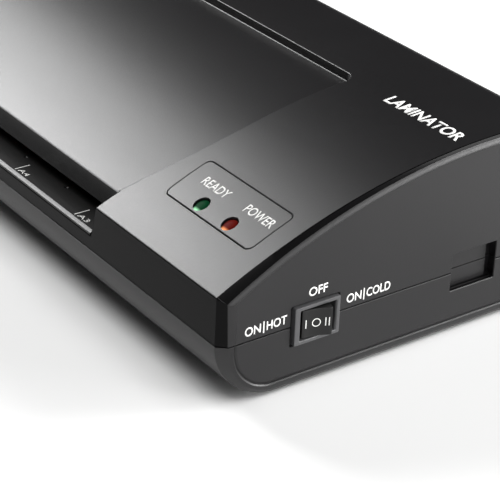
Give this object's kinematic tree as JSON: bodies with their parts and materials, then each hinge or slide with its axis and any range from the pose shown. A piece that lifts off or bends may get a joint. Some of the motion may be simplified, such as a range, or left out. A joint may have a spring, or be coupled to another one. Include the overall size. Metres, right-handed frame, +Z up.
{
  "type": "pouch laminator",
  "caption": "Desktop pouch laminator: low arched casing, notched infeed, heated roller train inside, rear outfeed slot, rocker switch on the right end.",
  "frame": {"origin": "on the resting surface, under the centre of the casing", "axes": "+X towards the end with the switch, +Y the feed direction, from the infeed at the front to the outfeed at the back, +Z up"},
  "size_m": [0.4918, 0.146, 0.0754],
  "materials": {
    "casing": "satin moulded ABS with a very fine texture, near black",
    "tray": "satin moulded ABS, black",
    "switch_plastic": "semi-gloss nylon, black",
    "green_lens": "clear tinted LED dome, green",
    "red_lens": "clear tinted LED dome, red",
    "circuit": "solder-masked circuit board with parts",
    "sheet_steel": "zinc-plated sheet steel",
    "steel": "ground or plated steel",
    "aluminium": "mill-finish extruded aluminium",
    "silicone": "red-brown silicone rubber",
    "nylon": "natural nylon",
    "bush": "heat-resistant brown plastic",
    "rubber": "matt black rubber",
    "wire": "PVC-insulated lead"
  },
  "bodies": {
    "casing": {"top_cover": "casing", "bottom_housing": "casing", "infeed_tray": "tray", "outfeed_guide": "tray", "indicator_panel": "casing", "ready_led": "green_lens", "power_led": "red_lens", "led_board": "circuit", "control_board": "circuit", "switch_body": "switch_plastic", "mains_inlet": "switch_plastic", "led_lead": "wire", "switch_lead": "wire", "left_side_frame": "sheet_steel", "right_side_frame": "sheet_steel", "front_tie_bar": "steel", "rear_tie_bar": "steel", "upper_heating_plate": "aluminium", "lower_heating_plate": "aluminium", "upper_heat_shield": "sheet_steel", "lower_heat_shield": "sheet_steel", "thermostat": "switch_plastic", "front_lower_left_bush": "bush", "front_lower_right_bush": "bush", "rear_lower_left_bush": "bush", "rear_lower_right_bush": "bush", "front_left_spring": "steel", "front_right_spring": "steel", "rear_left_spring": "steel", "rear_right_spring": "steel", "drive_gear_axle": "steel", "drive_motor": "sheet_steel", "casing_screw_1": "steel", "casing_screw_2": "steel", "casing_screw_3": "steel", "casing_screw_4": "steel", "foot_1": "rubber", "foot_2": "rubber", "foot_3": "rubber", "foot_4": "rubber"},
    "switch_rocker": {"switch_rocker": "switch_plastic"},
    "front_lower_roller": {"front_lower_shaft": "steel", "front_lower_sleeve": "silicone", "front_lower_gear": "nylon"},
    "rear_lower_roller": {"rear_lower_shaft": "steel", "rear_lower_sleeve": "silicone", "rear_lower_gear": "nylon"},
    "front_upper_bushes": {"front_upper_left_bush": "bush", "front_upper_right_bush": "bush"},
    "rear_upper_bushes": {"rear_upper_left_bush": "bush", "rear_upper_right_bush": "bush"},
    "front_upper_roller": {"front_upper_shaft": "steel", "front_upper_sleeve": "silicone", "front_upper_gear": "nylon"},
    "rear_upper_roller": {"rear_upper_shaft": "steel", "rear_upper_sleeve": "silicone", "rear_upper_gear": "nylon"},
    "drive_gear": {"drive_gear": "nylon"},
    "motor_pinion": {"motor_pinion": "nylon"}
  },
  "joints": [
    {"name": "switch_tilt", "type": "hinge", "parent": "casing", "child": "switch_rocker", "pos_m": [0.241, -0.0333, 0.0254], "axis": [0, 0, 1], "range_deg": [0, 33]},
    {"name": "front_lower_spin", "type": "hinge", "parent": "casing", "child": "front_lower_roller", "pos_m": [0, -0.028, 0.024], "axis": [1, 0, 0], "continuous": true},
    {"name": "front_upper_lift", "type": "slide", "parent": "casing", "child": "front_upper_bushes", "axis": [0, 0, 1], "range_m": [0, 0.001], "stiffness_N_per_m": 3000, "springref_m": -0.003, "deforming": ["front_left_spring", "front_right_spring"]},
    {"name": "rear_upper_lift", "type": "slide", "parent": "casing", "child": "rear_upper_bushes", "axis": [0, 0, 1], "range_m": [0, 0.001], "stiffness_N_per_m": 3000, "springref_m": -0.003, "deforming": ["rear_left_spring", "rear_right_spring"]},
    {"name": "front_upper_spin", "type": "hinge", "parent": "front_upper_bushes", "child": "front_upper_roller", "pos_m": [0, -0.028, 0.0444], "axis": [1, 0, 0], "continuous": true},
    {"name": "rear_lower_spin", "type": "hinge", "parent": "casing", "child": "rear_lower_roller", "pos_m": [0, 0.028, 0.024], "axis": [1, 0, 0], "continuous": true},
    {"name": "rear_upper_spin", "type": "hinge", "parent": "rear_upper_bushes", "child": "rear_upper_roller", "pos_m": [0, 0.028, 0.0444], "axis": [1, 0, 0], "continuous": true},
    {"name": "drive_gear_spin", "type": "hinge", "parent": "casing", "child": "drive_gear", "pos_m": [0, 0, 0.02963], "axis": [1, 0, 0], "continuous": true},
    {"name": "pinion_spin", "type": "hinge", "parent": "casing", "child": "motor_pinion", "pos_m": [0, 0, 0.05411], "axis": [1, 0, 0], "continuous": true}
  ],
  "couplings": [
    {"joint": "front_upper_spin", "follows": "front_lower_spin", "ratio": -1},
    {"joint": "rear_lower_spin", "follows": "front_lower_spin", "ratio": 1},
    {"joint": "rear_upper_spin", "follows": "front_lower_spin", "ratio": -1},
    {"joint": "drive_gear_spin", "follows": "front_lower_spin", "ratio": -0.55556},
    {"joint": "pinion_spin", "follows": "front_lower_spin", "ratio": 1.6667}
  ]
}
